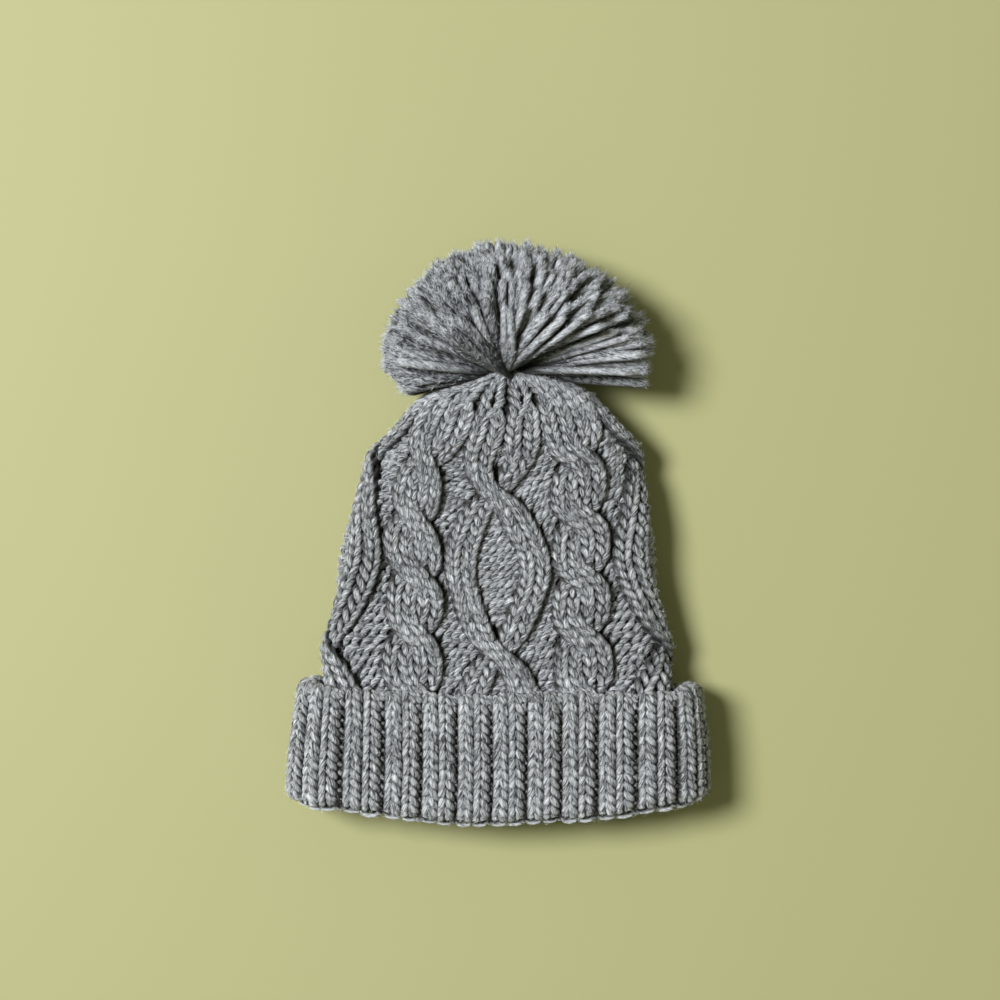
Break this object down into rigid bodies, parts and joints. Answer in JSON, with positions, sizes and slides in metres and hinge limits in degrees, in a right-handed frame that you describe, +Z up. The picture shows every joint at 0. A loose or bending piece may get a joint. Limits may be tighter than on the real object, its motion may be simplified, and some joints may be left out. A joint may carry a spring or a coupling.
{
  "type": "pom pom beanie",
  "caption": "Chunky cable-knit beanie with a turned-up ribbed cuff and a large strand pom-pom tied to its gathered crown, lying flat.",
  "frame": {"origin": "centre of the hat's footprint on the table it lies on", "axes": "+Y from the mouth of the hat to the pom-pom, +X across the hat, +Z up from the table"},
  "size_m": [0.2278, 0.316, 0.088],
  "materials": {
    "cable_knit": "mid-grey heather chunky plied yarn, matte, slightly fuzzy",
    "rib_knit": "the same yarn in a two-by-one rib",
    "tie_yarn": "the same yarn, drawn tight",
    "pom_yarn": "loose cut strands of the same yarn, brushed at the tips"
  },
  "bodies": {
    "crown": {"crown_shell": "cable_knit", "brim_band": "rib_knit", "crown_gather": "tie_yarn", "tie_cord": "tie_yarn", "anchor_knot": "tie_yarn"},
    "cuff": {"turned_up_cuff": "rib_knit", "cuff_fold": "rib_knit"},
    "pom_neck": {"pom_binding": "tie_yarn"},
    "pom": {"pom_strands": "pom_yarn"}
  },
  "joints": [
    {"name": "cuff_unroll", "type": "slide", "parent": "crown", "child": "cuff", "axis": [0, -1, 0], "range_m": [0, 0.04]},
    {"name": "pom_swing", "type": "hinge", "parent": "crown", "child": "pom_neck", "pos_m": [0.004, 0.0855, 0.028], "axis": [0, 0, 1], "range_deg": [-8, 8]},
    {"name": "pom_lift", "type": "hinge", "parent": "pom_neck", "child": "pom", "pos_m": [0.004, 0.0855, 0.028], "axis": [1, 0, 0], "range_deg": [0, 40]}
  ]
}
